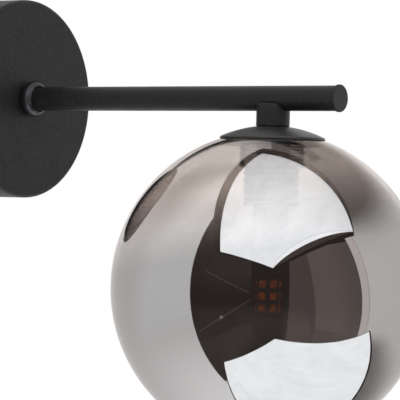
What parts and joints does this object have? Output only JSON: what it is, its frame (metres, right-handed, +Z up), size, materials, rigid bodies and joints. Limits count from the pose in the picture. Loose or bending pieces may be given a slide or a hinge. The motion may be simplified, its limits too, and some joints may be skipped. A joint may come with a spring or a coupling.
{
  "type": "globe wall sconce",
  "caption": "Wall light with a round plate, a straight round arm and a smoked glass globe that hangs under the arm from a shallow cap.",
  "frame": {"origin": "on the arm's axis in the plane of the wall, at the middle of the bracket's wall slots", "axes": "+X out of the wall along the arm, +Z up, +Y across the plate"},
  "size_m": [0.25, 0.15, 0.2153],
  "materials": {
    "black_powder_coat": "fine-textured matt powder coat on steel",
    "black_satin": "smooth satin black lacquer on steel",
    "black_screw": "black plated steel",
    "zinc_steel": "zinc plated steel",
    "sleeve_metal": "dull plated steel",
    "brass": "bare brass",
    "tinned_copper": "tinned copper",
    "terminal_plastic": "moulded natural polyamide",
    "white_plastic": "moulded white plastic",
    "holder_ceramic": "glazed steatite",
    "gasket_rubber": "soft black rubber",
    "smoked_glass": "blown glass with a dark mirror coating",
    "lamp_plastic": "moulded white plastic",
    "board_white": "coated circuit board",
    "chip_phosphor": "yellow-orange phosphor over each chip",
    "clear_cover": "clear moulded tube",
    "lead_brown": "brown insulation",
    "lead_blue": "blue insulation",
    "lead_green": "green and yellow insulation"
  },
  "bodies": {
    "fixture": {"wall_bracket": "zinc_steel", "earth_screw": "brass", "earth_lug": "tinned_copper", "terminal_block": "terminal_plastic", "terminal_inserts": "brass", "terminal_screws": "zinc_steel", "terminal_fixing_screw": "zinc_steel", "back_plate": "black_powder_coat", "plate_screw_left": "black_screw", "plate_screw_right": "black_screw", "arm_collar": "black_satin", "arm_root_nipple": "zinc_steel", "arm_lock_washer": "zinc_steel", "arm_lock_nut": "zinc_steel", "wire_bushing": "white_plastic", "arm_tube": "black_powder_coat", "arm_end_cap": "black_powder_coat", "arm_saddle": "black_satin", "saddle_nipple": "zinc_steel", "dome_cap": "black_satin", "dome_lock_washer": "zinc_steel", "dome_lock_nut": "zinc_steel", "holder_sleeve": "sleeve_metal", "holder_bridge": "zinc_steel", "holder_screws": "zinc_steel", "holder_ceramic": "holder_ceramic", "holder_contacts": "tinned_copper", "lead_live": "lead_brown", "lead_neutral": "lead_blue", "lead_earth": "lead_green"},
    "globe_seal": {"globe_gasket": "gasket_rubber"},
    "globe": {"glass_globe": "smoked_glass"},
    "lamp": {"lamp_base": "lamp_plastic", "lamp_pins": "tinned_copper", "lamp_carrier": "board_white", "lamp_chips": "chip_phosphor", "lamp_cover": "clear_cover"}
  },
  "joints": [
    {"name": "globe_drop", "type": "slide", "parent": "fixture", "child": "globe_seal", "axis": [0, 0, -1], "range_m": [0, 0.012]},
    {"name": "globe_turn", "type": "hinge", "parent": "globe_seal", "child": "globe", "pos_m": [0.175, 0, -0.0903], "axis": [0, 0, -1], "range_deg": [0, 1440]},
    {"name": "lamp_pull", "type": "slide", "parent": "fixture", "child": "lamp", "axis": [0, 0, -1], "range_m": [0, 0.018]}
  ],
  "couplings": [
    {"joint": "globe_drop", "follows": "globe_turn", "m_per_rad": 0.00047746}
  ]
}
